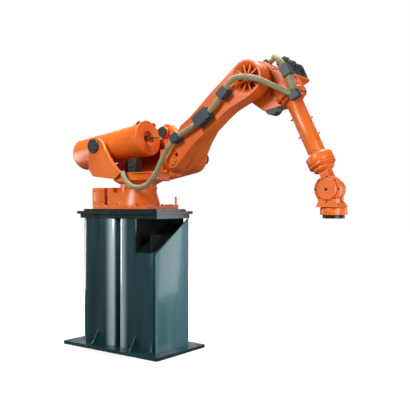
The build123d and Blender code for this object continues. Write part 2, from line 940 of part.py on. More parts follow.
# Dish at the elbow: a conical hollow with a hub and radial ribs
dish_slope = (dish_radius - dish_floor_radius) / dish_depth
dish = cross_turned(
    elbow,
    (
        (arm_near - overrun, 0),
        (arm_near - overrun, dish_radius + dish_slope * overrun),
        (arm_near + dish_depth, dish_floor_radius),
        (arm_near + dish_depth, 0),
    ),
)
hub_face = disc(dish_hub_radius, lower_arm_length)
dish -= slab(arm_frame, hub_face, arm_near + dish_hub_drop, arm_near + dish_depth)
rib_bar = Rectangle(dish_radius + overrun, dish_rib, align=(Align.MIN, Align.CENTER))
for number in range(dish_ribs):
    rib_face = Pos(lower_arm_length, 0) * Rot(0, 0, number * 360 / dish_ribs) * rib_bar
    dish -= slab(arm_frame, rib_face, arm_near + dish_rib_drop, arm_near + dish_depth)
lower_arm -= dish
save("lower_arm", lower_arm)
cover_face = disc(axis2_cover_radius, root_boss_along, root_boss_side)
save("axis2_cover", slab(arm_frame, cover_face, arm_near - axis2_cover_thickness, arm_near))

# Hose clamps on the near face of the lower arm: places and sizes as along, side, length, width
clamp_sizes = (
    (250.0, 40.0, 105.0, 92.0),
    (655.0, -13.0, 205.0, 128.0),
    (1000.0, 17.0, 118.0, 90.0),
)
hose_y = arm_near - hose_stand_off
clamp_face_y = hose_y - hose_radius - clamp_wall


def seg_heading(start, end):
    """Direction in degrees from one point of a side frame to another."""
    return math.degrees(math.atan2(end[1] - start[1], end[0] - start[0]))


# Hose along the lower arm, as along, side points in the arm's frame
arm_hose = (
    (250.0, 40.0),
    (375.0, 22.0),
    (515.0, -10.0),
    (655.0, -13.0),
    (810.0, -20.0),
    (905.0, 6.0),
    (1000.0, 17.0),
)
bend_share = 0.45


def arc_radii(points):
    """Bend radii for a route: each as large as its two runs allow."""
    radii = []
    for before, here, after in zip(points, points[1:], points[2:]):
        first = here - before
        second = after - here
        half_turn = math.radians(first.get_angle(second) / 2)
        radii.append(bend_share * min(first.length, second.length) / math.tan(half_turn))
    return radii


def hose(points):
    """A hose as a tube of straight runs joined by tangent arcs."""
    route = [Vector(*p) for p in points]
    path = FilletPolyline(*route, radius=arc_radii(route))
    start = Plane(origin=route[0], z_dir=route[1] - route[0])
    return sweep(start * Circle(hose_radius), path=path)


def arm_point(along, side, y):
    """A point of the lower arm's frame in the part's frame."""
    spot = arm_frame.origin + arm_frame.x_dir * along + arm_frame.y_dir * side
    return (spot.X, y, spot.Z)


def elbow_point(along, side, y):
    """A point of the upper arm's frame in the part's frame."""
    spot = elbow_frame.origin + elbow_frame.x_dir * along + elbow_frame.y_dir * side
    return (spot.X, y, spot.Z)


def mount_point(x, y, z):
    """A point given from the mounting plane."""
    return (x, y, z + pedestal_height)


arm_hose_solid = hose([arm_point(a, b, hose_y) for a, b in arm_hose])
save("hose_arm", arm_hose_solid)
arm_clamps = []
for along, side, length, width in clamp_sizes:
    spot = min(range(len(arm_hose)), key=lambda n: abs(arm_hose[n][0] - along))
    before = arm_hose[max(spot - 1, 0)]
    after = arm_hose[min(spot + 1, len(arm_hose) - 1)]
    clamp_face = RectangleRounded(length, width, 2 * edge_round)
    clamp_face = Pos(along, side) * Rot(0, 0, seg_heading(before, after)) * clamp_face
    arm_clamps.append(slab(arm_frame, clamp_face, clamp_face_y, arm_near) - arm_hose_solid)

# Hose loop from the turret to the lowest clamp
turret_loop = [
    mount_point(35, -deck_half_width - gland_depth, 425),
    mount_point(60, -322, 382),
    mount_point(118, -338, 318),
    mount_point(205, -345, 262),
    mount_point(320, -352, 236),
    mount_point(440, -357, 262),
    mount_point(545, -362, 330),
    mount_point(620, -366, 425),
    mount_point(672, -368, 520),
    mount_point(735, -366, 622),
    mount_point(798, -357, 706),
    arm_point(*arm_hose[0], hose_y),
]
turret_hose_solid = hose(turret_loop) - arm_hose_solid - gland
save("hose_turret_loop", turret_hose_solid)

# Upper hose, as along, side, Y points in the upper arm's frame: up from the lower clamp and behind the elbow
upper_hose = [
    (398.0, 350.0, -168.0),
    (352.0, 362.0, -172.0),
    (292.0, 368.0, -173.0),
    (215.0, 374.0, -173.0),
    (140.0, 376.0, -173.0),
    (70.0, 374.0, -174.0),
    (0.0, 352.0, -172.0),
    (-68.0, 316.0, -125.0),
    (-114.0, 283.0, -70.0),
    (-146.0, 246.0, 0.0),
    (-170.0, 214.0, 80.0),
    (-200.0, 178.0, 152.0),
    (-226.0, 110.0, 200.0),
    (-212.0, 45.0, 224.0),
]

# Hose loop over the elbow, from the top clamp of the lower arm to the lower clamp of the upper arm
elbow_loop = [
    arm_point(*arm_hose[-1], hose_y),
    arm_point(1062, 36, -352),
    arm_point(1140, 46, -368),
    arm_point(1225, 24, -380),
    arm_point(1300, -38, -382),
    arm_point(1367, -112, -370),
    arm_point(1416, -188, -342),
    arm_point(1452, -265, -298),
    arm_point(1484, -341, -243),
    arm_point(1510, -404, -192),
    elbow_point(*upper_hose[0]),
]
elbow_hose_solid = hose(elbow_loop) - arm_hose_solid
save("hose_elbow_loop", elbow_hose_solid)
arm_clamps = [c - turret_hose_solid - elbow_hose_solid for c in arm_clamps]
save("arm_hose_clamps", Compound(children=arm_clamps))

# Upper arm: gear ring and elbow housing, whose nose carries the root of the forearm
gear_ring = slab(elbow_frame, disc(gear_ring_radius), arm_far + running_gap, gear_ring_far)
save("axis3_gear_ring", gear_ring)
nose_shares = (
    (0.0, 1.0),
    (0.05, 1.13),
    (0.13, 1.3),
    (0.38, 1.34),
    (0.43, 1.18),
    (1.0, 1.18),
    (1.0, 0.8),
    (0.84, -0.36),
    (0.29, -0.94),
    (0.0, -1.0),
)
nose = outline(*[(a * tube_root, b * elbow_drum_radius) for a, b in nose_shares])
housing = slab(elbow_frame, disc(elbow_drum_radius) + nose, elbow_near, elbow_far)
housing += slab(elbow_frame, disc(elbow_far_radius), elbow_far, elbow_far + elbow_far_cover)
ring_end = root_ring_along + root_ring_width
root = turned(
    roll_axis_frame,
    (
        (rear_plate_along, 0),
        (rear_plate_along, root_radius),
        (root_ring_along - edge_round, root_radius),
        (root_ring_along, root_ring_radius),
        (ring_end - edge_round, root_ring_radius),
        (ring_end, root_ring_radius - edge_round),
        (ring_end, root_step_radius),
        (tube_root - edge_round, root_step_radius),
        (tube_root, root_step_radius - edge_round),
        (tube_root, 0),
    ),
)
elbow_housing = housing + root
bar_turn = 115.0
bar_shares = ((0.5, 0.33), (0.7, 0.68))
for along_share, side_share in bar_shares:
    bar_face = Rectangle(boss_bar_length, boss_bar_width)
    bar_face = Pos(along_share * tube_root, side_share * elbow_drum_radius) * Rot(0, 0, bar_turn) * bar_face
    elbow_housing += slab(elbow_frame, bar_face, elbow_near - boss_bar_height, elbow_near)
save("elbow_housing", elbow_housing)
axis3_motor_face = disc(axis3_motor_radius, axis3_motor_along, axis3_motor_side)
axis3_motor = slab(elbow_frame, axis3_motor_face, axis3_motor_near, axis3_motor_far)
save("axis3_motor", axis3_motor - elbow_housing)

# Plate and motors of axes 4 to 6 behind the forearm, in a row of three
plate_back = rear_plate_along - rear_plate_thickness
rear_motor_count = 3
motors = []
for number in range(rear_motor_count):
    motor_length = rear_motor_length - number * rear_motor_step
    motor_y = rear_motor_near + number * rear_motor_pitch
    motor_face = RectangleRounded(rear_motor_side, rear_motor_side, 2 * edge_round)
    place = Pos(plate_back - motor_length, rear_motor_rise, -motor_y) * Rot(0, 90, 0)
    motors.append(elbow_frame * place * extrude(motor_face, motor_length) - elbow_housing)
save("rear_motors", Compound(children=motors))
plate_width = rear_plate_far - rear_plate_near
plate_height = rear_plate_high - rear_plate_low
plate_middle_side = rear_plate_low + plate_height / 2
plate_middle_y = rear_plate_near + plate_width / 2
plate_face = RectangleRounded(plate_width, plate_height, plate_height / 3)
plate_place = Pos(plate_back, plate_middle_side, -plate_middle_y) * Rot(0, 90, 0)
rear_plate = elbow_frame * plate_place * extrude(plate_face, rear_plate_thickness) - elbow_housing
save("rear_motor_plate", rear_plate)

# Forearm tube with its pegs
tube_end = forearm_length - collar_start
tube = turned(
    roll_axis_frame,
    ((tube_root, 0), (tube_root, tube_radius), (tube_end, tube_radius), (tube_end, 0)),
)
peg_spots = ((0.28, -1), (0.42, 1), (0.62, -1), (0.72, 1))
for peg_share, sign in peg_spots:
    peg_along = tube_root + peg_share * (tube_end - tube_root)
    peg_place = Pos(peg_along, sign * (tube_radius - peg_radius), 0) * Rot(-90 * sign, 0, 0)
    peg = Cylinder(peg_radius, peg_length + peg_radius, align=(Align.CENTER, Align.CENTER, Align.MIN))
    tube += roll_axis_frame * peg_place * peg
save("forearm_tube", tube)

# Wrist collar: the fixed part of axis 4, a cone and a drum with a groove
groove_floor = collar_radius - collar_groove_depth
collar_points = (
    (-collar_start, 0),
    (-collar_start, tube_radius + edge_round / 2),
    (-collar_shoulder - 2 * edge_round, collar_radius - 2 * edge_round),
    (-collar_shoulder, collar_radius),
    (-collar_groove, collar_radius),
    (-collar_groove, groove_floor),
    (-collar_groove + collar_groove_width, groove_floor),
    (-collar_groove + collar_groove_width, collar_radius),
    (-collar_end, collar_radius),
    (-collar_end, 0),
)
save("wrist_collar", turned(roll_frame, collar_points))

# Rolling part of the wrist: a grooved ring, then the neck and the hub of axis 5
roll_ring_points = (
    (-collar_end + running_gap, 0),
    (-collar_end + running_gap, roll_ring_radius),
    (-roll_ring_step, roll_ring_radius),
    (-roll_ring_step, roll_groove_radius),
    (-roll_ring_step + roll_groove_width, roll_groove_radius),
    (-roll_ring_step + roll_groove_width, roll_lip_radius),
    (-roll_lip_end, roll_lip_radius),
    (-roll_ring_end, roll_ring_tip_radius),
    (-roll_ring_end, 0),
)
save("roll_ring", turned(roll_frame, roll_ring_points))
neck_face = Pos(-roll_ring_end / 2, 0) * Rectangle(roll_ring_end, 2 * neck_half_width)
wrist_hub = slab(roll_frame, neck_face + disc(hub_radius), -hub_half_width, hub_half_width)
save("wrist_hub", wrist_hub)

# Bending part of the wrist: side discs, a bridge between them and a ring
disc_inner = hub_half_width + running_gap
flare = wrist_ring_radius - wrist_ring_chamfer
near_outline = outline(
    (0, -bridge_half),
    (bridge_start, -bridge_half),
    (bridge_end, -flare),
    (bridge_end, flare),
    (bridge_start, bridge_half),
    (0, bridge_half),
)
near_side = slab(tool_frame, disc(disc_radius) + near_outline, disc_near, -disc_inner)
disc_points = (
    (disc_near - disc_cover_height, 0),
    (disc_near - disc_cover_height, disc_cover_radius - edge_round),
    (disc_near - disc_cover_height + edge_round, disc_cover_radius),
    (disc_near, disc_cover_radius),
    (disc_near, 0),
)
disc_groove = cross_turned(
    wrist,
    (
        (disc_near - overrun, disc_cover_radius),
        (disc_near + disc_groove_depth, disc_cover_radius),
        (disc_near + disc_groove_depth, disc_cover_radius + disc_groove_width),
        (disc_near - overrun, disc_cover_radius + disc_groove_width),
    ),
)
far_outline = outline(
    (0, -far_plate_half),
    (bridge_end, -far_plate_half),
    (bridge_end, far_plate_half),
    (0, far_plate_half),
)
far_side = slab(tool_frame, disc(far_disc_radius) + far_outline, disc_inner, far_disc_far)
bridge_outline = outline(
    (bridge_throat, -bridge_throat_half),
    (bridge_start, -bridge_half),
    (bridge_end, -flare),
    (bridge_end, flare),
    (bridge_start, bridge_half),
    (bridge_throat, bridge_throat_half),
)
bridge_block = slab(tool_frame, bridge_outline, -disc_inner, disc_inner)
wrist_housing = near_side + far_side + bridge_block + cross_turned(wrist, disc_points) - disc_groove
save("wrist_housing", wrist_housing)
wrist_ring_points = (
    (bridge_end, 0),
    (bridge_end, flare),
    (bridge_end + wrist_ring_chamfer, wrist_ring_radius),
    (wrist_ring_end, wrist_ring_radius),
    (wrist_ring_end, 0),
)
save("wrist_ring", turned(tool_frame, wrist_ring_points))

# Tool flange with its bolt circle and centring bore
flange_start = wrist_ring_end + running_gap
flange_points = (
    (flange_start, 0),
    (flange_start, tool_flange_radius),
    (flange_drop, tool_flange_radius),
    (flange_drop, tool_bore_radius),
    (flange_drop - tool_bore_depth, tool_bore_radius),
    (flange_drop - tool_bore_depth, 0),
)
tool_flange = turned(tool_frame, flange_points)
tool_hole = Cylinder(tool_hole_radius, tool_hole_depth, align=(Align.CENTER, Align.CENTER, Align.MIN))
for number in range(tool_holes):
    turn = math.radians(number * 360 / tool_holes)
    hole_x = wrist[0] + tool_hole_circle / 2 * math.cos(turn)
    tool_flange -= Pos(hole_x, tool_hole_circle / 2 * math.sin(turn), wrist[1] - flange_drop) * tool_hole
save("tool_flange", tool_flange)

# Upper hose with a sleeve between its clamps, and the clamps and socket that hold it
sleeve_start = Vector(*elbow_point(*upper_hose[1]))
sleeve_end = Vector(*elbow_point(*upper_hose[3]))
sleeve_plane = Plane(origin=sleeve_start, z_dir=sleeve_end - sleeve_start)
sleeve = sleeve_plane * extrude(Circle(sleeve_radius), (sleeve_end - sleeve_start).length)
upper_hose_solid = hose([elbow_point(*p) for p in upper_hose]) + sleeve - elbow_hose_solid
save("hose_upper", upper_hose_solid)
upper_clamps = (
    (upper_hose[0], (86.0, 92.0, 78.0)),
    (upper_hose[4], (112.0, 92.0, 82.0)),
)
upper_clamp_solids = []
for spot, size in upper_clamps:
    clamp = elbow_frame * Pos(spot[0], spot[1], -spot[2]) * Box(*size)
    for piece in (upper_hose_solid, elbow_hose_solid, elbow_housing, tube, rear_plate, *motors):
        clamp = clamp - piece
    upper_clamp_solids.append(clamp)
save("upper_hose_clamps", Compound(children=upper_clamp_solids))
socket_spot = upper_hose[-1]
socket_size = 3 * hose_radius
socket = elbow_frame * Pos(socket_spot[0], socket_spot[1], -socket_spot[2] + hose_radius) * Box(
    socket_size, socket_size, socket_size
)
save("hose_socket", socket - upper_hose_solid - elbow_housing)
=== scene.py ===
import math

import bmesh
import bpy
from mathutils import Matrix, Vector


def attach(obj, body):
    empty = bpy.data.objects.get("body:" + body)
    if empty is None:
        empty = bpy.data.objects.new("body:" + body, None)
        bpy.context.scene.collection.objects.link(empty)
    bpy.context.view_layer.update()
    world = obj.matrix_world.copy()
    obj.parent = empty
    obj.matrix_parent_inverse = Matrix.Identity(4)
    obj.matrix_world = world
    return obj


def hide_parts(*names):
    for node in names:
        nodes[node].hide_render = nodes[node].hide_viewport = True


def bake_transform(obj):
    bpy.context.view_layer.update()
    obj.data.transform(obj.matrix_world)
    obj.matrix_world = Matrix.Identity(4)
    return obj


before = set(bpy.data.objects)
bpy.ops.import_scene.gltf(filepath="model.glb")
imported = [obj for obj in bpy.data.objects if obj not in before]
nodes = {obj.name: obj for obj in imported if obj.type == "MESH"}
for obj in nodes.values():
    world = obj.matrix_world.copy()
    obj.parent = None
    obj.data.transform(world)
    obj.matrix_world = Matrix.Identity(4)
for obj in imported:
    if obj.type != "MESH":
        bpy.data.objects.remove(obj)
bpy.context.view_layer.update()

# Studio. A pale floor and a white surround, a wide soft light over the arm, a tall one on each side,
# whose reflections run down the rounded corners of the pedestal, and a weak one by the camera. The
# camera is level, at the height of the robot's foot.
floor_radius = 40.0
camera_place = (5.145, -5.547, 1.697)
camera_turn = 36.8
lens = 55.05
sensor = 36.0


def linear(code):
    """Linear colour from an sRGB hex value."""
    parts = [int(code[i:i + 2], 16) / 255 for i in (0, 2, 4)]
    return [p / 12.92 if p <= 0.04045 else ((p + 0.055) / 1.055) ** 2.4 for p in parts] + [1.0]


def add(tree, kind, settings=None, inputs=None):
    """One node in a tree, with its settings made and its inputs set or linked."""
    made = tree.nodes.new(kind)
    for name, value in (settings or {}).items():
        setattr(made, name, value)
    for name, value in (inputs or {}).items():
        if isinstance(value, bpy.types.NodeSocket):
            tree.links.new(value, made.inputs[name])
        else:
            made.inputs[name].default_value = value
    return made


def finish_of(name, surface):
    """A material whose fixed values are set on its shader's own sockets, and the place it reads."""
    made = bpy.data.materials.new(name)
    made.use_nodes = True
    tree = made.node_tree
    shader = tree.nodes["Principled BSDF"]
    for socket, value in surface.items():
        shader.inputs[socket].default_value = value
    place = add(tree, "ShaderNodeTexCoord").outputs["Object"]
    return made, tree, shader, place


def two_tones(tree, amount, low, high, first, second):
    """A ramp between two colours over part of a pattern's range."""
    ramp = add(tree, "ShaderNodeValToRGB", None, {"Fac": amount})
    for element, position, code in zip(ramp.color_ramp.elements, (low, high), (first, second)):
        element.position = position
        element.color = linear(code)
    return ramp.outputs["Color"]


floor_shape = bmesh.new()
bmesh.ops.create_circle(floor_shape, cap_ends=True, segments=96, radius=floor_radius)
floor_mesh = bpy.data.meshes.new("studio_floor")
floor_shape.to_mesh(floor_mesh)
floor_shape.free()
floor = bpy.data.objects.new("studio_floor", floor_mesh)
bpy.context.scene.collection.objects.link(floor)
floor_finish, floor_tree, floor_shader, floor_place = finish_of(
    "matt_white_floor", {"Roughness": 0.9, "Base Color": linear("F6F6F4"), "Emission Color": (1, 1, 1, 1)}
)
reach = add(floor_tree, "ShaderNodeVectorMath", {"operation": "LENGTH"}, {0: floor_place})
glow = add(
    floor_tree, "ShaderNodeMapRange", {"interpolation_type": "SMOOTHSTEP"},
    {"Value": reach.outputs["Value"], "From Min": 1.2, "From Max": 4.0},
)
floor_tree.links.new(glow.outputs[0], floor_shader.inputs["Emission Strength"])
floor_mesh.materials.append(floor_finish)
floor.visible_diffuse = False
floor.visible_glossy = False

world = bpy.data.worlds.new("studio")
bpy.context.scene.world = world
world.use_nodes = True
air = world.node_tree
path = add(air, "ShaderNodeLightPath")
level = add(
    air, "ShaderNodeMapRange", None, {"Value": path.outputs["Is Camera Ray"], "To Min": 0.13, "To Max": 1.0}
)
air.links.new(level.outputs[0], air.nodes["Background"].inputs["Strength"])
air.nodes["Background"].inputs["Color"].default_value = (1.0, 1.0, 1.0, 1.0)
bpy.context.scene.view_settings.view_transform = "Standard"


def soft_light(name, place, aim, size, power):
    """A rectangular soft light, given by its width and height, that points at a place."""
    lamp = bpy.data.lights.new(name, "AREA")
    lamp.shape = "RECTANGLE"
    lamp.size, lamp.size_y = size
    lamp.energy = power
    holder = bpy.data.objects.new(name, lamp)
    bpy.context.scene.collection.objects.link(holder)
    holder.visible_camera = False
    holder.location = place
    holder.rotation_euler = (Vector(aim) - Vector(place)).to_track_quat("-Z", "Y").to_euler()


soft_light("overhead", (0.4, 0.9, 6.4), (0.8, 0.0, 2.2), (5.5, 3.0), 600)
soft_light("back", (-4.6, 6.2, 4.6), (0.5, 0.0, 2.4), (7.0, 3.5), 260)
soft_light("front", (-0.2, -6.5, 5.2), (0.9, 0.0, 2.4), (2.4, 2.0), 440)
soft_light("right", (4.8, 3.6, 1.3), (0.5, 0.0, 1.1), (2.4, 3.2), 60)
soft_light("left", (-5.4, -1.4, 1.3), (-0.3, 0.0, 1.0), (1.6, 2.8), 130)
soft_light("side", (5.6, -1.6, 1.6), (0.0, 0.0, 1.2), (1.1, 3.0), 130)

lens_data = bpy.data.cameras.new("camera")
lens_data.lens = lens
lens_data.sensor_width = sensor
lens_data.clip_end = 200.0
camera = bpy.data.objects.new("camera", lens_data)
bpy.context.scene.collection.objects.link(camera)
camera.location = camera_place
camera.rotation_euler = (math.radians(90), 0, math.radians(camera_turn))
bpy.context.scene.camera = camera

# Pedestal. Two deep box tubes on a foot plate with gussets, under a collar and two plates, are folded
# and welded from sheet steel. Dark teal gloss enamel covers them under a faint orange peel. Its two
# tones run in soft upright streaks that are painted reflections, and a pale painted highlight runs down
# the folded corners beside the slot, where the lamps' reflection lies along them.
tube_teal = ("0F2B2E", "1C4449")
head_teal = ("0B1B1D", "14292C")
# Pale teal of the painted highlight down the corners beside the slot, and the band it covers.
highlight_teal = "C3D6DC"
slot_middle = -0.089
highlight_inner = 0.030
highlight_start = 0.060
highlight_end = 0.190
reflection_streak_width = 0.16
reflection_streak_share = 0.12
peel_size = 0.008
sheet_edge = 0.002
weld_edge = 0.0015


def painted_corner_highlight(tree, place, drift, tone):
    """A painted highlight down the folded corners on both sides of the slot, standing in for their
    reflection.
    """
    across = add(tree, "ShaderNodeSeparateXYZ", None, {"Vector": place}).outputs["X"]
    offset = add(tree, "ShaderNodeMath", {"operation": "SUBTRACT"}, {0: across, 1: slot_middle})
    away = add(tree, "ShaderNodeMath", {"operation": "ABSOLUTE"}, {0: offset.outputs[0]})
    near = add(
        tree, "ShaderNodeMapRange", {"interpolation_type": "SMOOTHSTEP"},
        {"Value": away.outputs[0], "From Min": highlight_start, "From Max": highlight_end, "To Min": 0.8, "To Max": 0.0},
    )
    open_side = add(
        tree, "ShaderNodeMapRange", {"interpolation_type": "SMOOTHSTEP"},
        {"Value": away.outputs[0], "From Min": highlight_inner, "From Max": highlight_start},
    )
    uneven = add(tree, "ShaderNodeMath", {"operation": "MULTIPLY_ADD"}, {0: drift, 1: 0.5, 2: 0.65})
    band = add(
        tree, "ShaderNodeMath", {"operation": "MULTIPLY"}, {0: near.outputs[0], 1: open_side.outputs[0]}
    )
    share = add(
        tree, "ShaderNodeMath", {"operation": "MULTIPLY"}, {0: band.outputs[0], 1: uneven.outputs[0]}
    )
    mixed = add(
        tree, "ShaderNodeMix", {"data_type": "RGBA"}, {0: share.outputs[0], 6: tone, 7: linear(highlight_teal)}
    )
    return mixed.outputs[2]


def teal_enamel(name, tones, with_corner_highlight=False):
    """Gloss enamel on sheet steel: two close tones in soft streaks of painted reflection, under a shallow
    orange peel.
    """
    made, tree, shader, place = finish_of(
        name, {"Coat Weight": 0.5, "Coat Roughness": 0.08, "Specular IOR Level": 0.5}
    )
    # The tones follow noise stretched upright: painted reflection streaks, as on slightly wavy sheet; the
    # gloss varies with them.
    reflection_streak = add(tree, "ShaderNodeMapping", None, {"Vector": place, "Scale": (1.0, 1.0, reflection_streak_share)})
    drift = add(
        tree, "ShaderNodeTexNoise", None,
        {"Vector": reflection_streak.outputs["Vector"], "Scale": 1 / reflection_streak_width, "Detail": 3.0},
    )
    tone = two_tones(tree, drift.outputs["Fac"], 0.3, 0.72, *tones)
    # On the tubes a painted highlight is laid down the corners beside the slot.
    if with_corner_highlight:
        tone = painted_corner_highlight(tree, place, drift.outputs["Fac"], tone)
    gloss = add(
        tree, "ShaderNodeMapRange", None, {"Value": drift.outputs["Fac"], "To Min": 0.16, "To Max": 0.34}
    )
    peel = add(tree, "ShaderNodeTexNoise", None, {"Vector": place, "Scale": 1 / peel_size, "Detail": 1.0})
    bump = add(
        tree, "ShaderNodeBump", None, {"Height": peel.outputs["Fac"], "Strength": 0.08, "Distance": 0.001}
    )
    tree.links.new(tone, shader.inputs["Base Color"])
    tree.links.new(gloss.outputs[0], shader.inputs["Roughness"])
    tree.links.new(bump.outputs["Normal"], shader.inputs["Normal"])
    return made


def wear_finish(finish, names, edge=0.0):
    """Gives CAD nodes their finish, and their sharp edges a small round."""
    for name in names:
        node = nodes[name]
        node.data.materials.clear()
        node.data.materials.append(finish)
        if edge:
            weld = node.modifiers.new("weld", "WELD")
            weld.merge_threshold = 0.00002
            rounding = node.modifiers.new("edge_round", "BEVEL")
            rounding.width = edge
            rounding.segments = 2
            rounding.limit_method = "ANGLE"
            rounding.angle_limit = math.radians(35)
            rounding.harden_normals = True


wear_finish(
    teal_enamel("teal_gloss_enamel_tubes", tube_teal, with_corner_highlight=True),
    ["column_tube_left", "column_tube_right"], weld_edge,
)
wear_finish(
    teal_enamel("teal_gloss_enamel_head", head_teal),
    ["adaptor_plate", "top_plate", "column_collar"], weld_edge,
)
wear_finish(teal_enamel("teal_gloss_enamel", tube_teal), ["foot_plate", "foot_gussets"], sheet_edge)

# Side plate. A flat sheet closes the pedestal's right side, in a lighter copy of the teal enamel: painted
# light from the lamps on that side. Its top is cut along the notch, so that it rises from the near edge to
# the collar at the far edge.
# The lighter tones are painted light: a lit copy of the teal that stands for the light on this side.
plate_lit_teal = ("467278", "5A8A90")
plate_low = 0.040
plate_near_top = 1.145
plate_far_top = 1.538
plate_half = 0.285
plate_inner = 0.517
plate_outer = 0.537


def fit(name, shape, finish, body, round_over=math.radians(35)):
    """Closes a shape into a piece with its finish, on the body that carries it."""
    bmesh.ops.recalc_face_normals(shape, faces=shape.faces[:])
    for face in shape.faces:
        face.smooth = True
    for edge in shape.edges:
        edge.smooth = edge.calc_face_angle(0.0) < round_over
    mesh = bpy.data.meshes.new(name)
    shape.to_mesh(mesh)
    shape.free()
    mesh.materials.append(finish)
    piece = bpy.data.objects.new(name, mesh)
    bpy.context.scene.collection.objects.link(piece)
    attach(piece, body)
    return piece


def cut_plate(name, outline, place, low, high, edge, finish, body, node=None):
    """A plate with a drawn outline, rounded along its edges."""
    shape = bmesh.new()
    corners = [shape.verts.new(place @ Vector((*corner, low))) for corner in outline]
    face = [shape.faces.new(corners)]
    risen = bmesh.ops.extrude_face_region(shape, geom=face, use_keep_orig=True)["geom"]
    lifted = [part for part in risen if isinstance(part, bmesh.types.BMVert)]
    lift = place.to_3x3() @ Vector((0, 0, high - low))
    bmesh.ops.translate(shape, verts=lifted, vec=lift)
    sharp = [e for e in shape.edges if e.calc_face_angle(0.0) > math.radians(40)]
    bmesh.ops.bevel(shape, geom=sharp, offset=edge, segments=3, affect="EDGES", profile=0.5, material=-1)
    piece = fit(name, shape, finish, body)
    if node:
        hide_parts(node)
    return piece


plate_outline = [
    (-plate_half, plate_low), (plate_half, plate_low),
    (plate_half, plate_far_top), (-plate_half, plate_near_top),
]
cut_plate(
    "side_sheet", plate_outline, Matrix(((0, 0, 1, 0), (1, 0, 0, 0), (0, 1, 0, 0), (0, 0, 0, 1))),
    plate_inner, plate_outer, sheet_edge, teal_enamel("teal_enamel_painted_light", plate_lit_teal),
    "pedestal_and_base", "side_plate",
)

# Notch lining. Folded sheet with a rib closes the notch in the right tube. It is near black, matt and
# faintly mottled, and takes no reflection: painted shade for the dark hollow of the notch.
# Near-black tones of the painted shade in the notch.
notch_shade_tones = ("060A0A", "10191A")
shade_mottle_size = 0.06


def painted_notch_shade():
    """Near black, matt and mottled inside the notch: painted shade for its dark hollow."""
    made, tree, shader, place = finish_of("notch_painted_shade_black", {"Specular IOR Level": 0.25})
    dust = add(tree, "ShaderNodeTexNoise", None, {"Vector": place, "Scale": 1 / shade_mottle_size, "Detail": 4.0})
    tone = two_tones(tree, dust.outputs["Fac"], 0.4, 0.75, *notch_shade_tones)
    matt = add(tree, "ShaderNodeMapRange", None, {"Value": dust.outputs["Fac"], "To Min": 0.6, "To Max": 0.8})
    tree.links.new(tone, shader.inputs["Base Color"])
    tree.links.new(matt.outputs[0], shader.inputs["Roughness"])
    return made


wear_finish(painted_notch_shade(), ["notch_liner"], sheet_edge)

# Castings. The base, turret, arms and wrist are iron and aluminium castings, filled, primed and
# sprayed satin orange. The sand mould leaves a slow unevenness under the paint.
orange_tones = ("CC560E", "DE6A18")
drift_size = 0.45
cast_size = 0.03
cast_edge = 0.003


def orange_enamel(name, tones):
    """Satin enamel over cast metal: warm orange with slow drifts and an uneven cast skin."""
    made, tree, shader, place = finish_of(
        name, {"Coat Weight": 0.18, "Coat Roughness": 0.3, "Specular IOR Level": 0.5}
    )
    drift = add(tree, "ShaderNodeTexNoise", None, {"Vector": place, "Scale": 1 / drift_size, "Detail": 5.0})
    tone = two_tones(tree, drift.outputs["Fac"], 0.32, 0.62, *tones)
    gloss = add(
        tree, "ShaderNodeMapRange", None, {"Value": drift.outputs["Fac"], "To Min": 0.3, "To Max": 0.46}
    )
    skin = add(tree, "ShaderNodeTexNoise", None, {"Vector": place, "Scale": 1 / cast_size, "Detail": 3.0})
    bump = add(
        tree, "ShaderNodeBump", None, {"Height": skin.outputs["Fac"], "Strength": 0.2, "Distance": 0.002}
    )
    tree.links.new(tone, shader.inputs["Base Color"])
    tree.links.new(gloss.outputs[0], shader.inputs["Roughness"])
    tree.links.new(bump.outputs["Normal"], shader.inputs["Normal"])
    return made


orange = orange_enamel("satin_orange_enamel", orange_tones)
wear_finish(
    orange,
    [
        "base_casting", "connector_box", "locating_pin", "slew_ring", "turret_casting", "cheek_near",
        "cheek_far", "balancer_barrel", "balancer_flange", "rod_fork", "lower_arm", "axis2_cover",
        "axis3_gear_ring", "elbow_housing", "rear_motor_plate", "forearm_tube", "wrist_collar",
        "roll_ring", "wrist_hub", "wrist_housing", "wrist_ring",
    ],
    cast_edge,
)

# Foot screws of the base. Blackened steel socket screws clamp the cast base to the plate below, one on
# each raised boss. Each has a turned head with a chamfered rim and a hexagon socket, and a dull shine.
mounting_z = 1.650
foot_boss_top = 0.048
foot_screw_y = 0.235
foot_middle = -0.0715
foot_half = 0.4635
foot_shares = (-0.82, -0.5, -0.15, 0.2, 0.52, 0.82)
screw_steps = ((16, 1.0, -0.3), (16, 1.0, 0.8), (16, 0.88, 1.0), (6, 0.52, 1.0), (6, 0.5, 0.4))


def plain_finish(name, hexes, roughness, metallic, grain, depth):
    """Two close tones with a fine grain: moulded plastic, black paint or machined steel."""
    made, tree, shader, place = finish_of(name, {"Metallic": metallic})
    speck = add(tree, "ShaderNodeTexNoise", None, {"Vector": place, "Scale": 1 / grain, "Detail": 3.0})
    tone = two_tones(tree, speck.outputs["Fac"], 0.35, 0.65, *hexes)
    gloss = add(
        tree, "ShaderNodeMapRange", None,
        {"Value": speck.outputs["Fac"], "To Min": roughness - 0.06, "To Max": roughness + 0.1},
    )
    bump = add(
        tree, "ShaderNodeBump", None, {"Height": speck.outputs["Fac"], "Strength": 0.2, "Distance": depth}
    )
    tree.links.new(tone, shader.inputs["Base Color"])
    tree.links.new(gloss.outputs[0], shader.inputs["Roughness"])
    tree.links.new(bump.outputs["Normal"], shader.inputs["Normal"])
    return made


black_steel = plain_finish("blackened_steel_flange", ("26282B", "3A3D41"), 0.38, 0.8, 0.01, 0.0002)


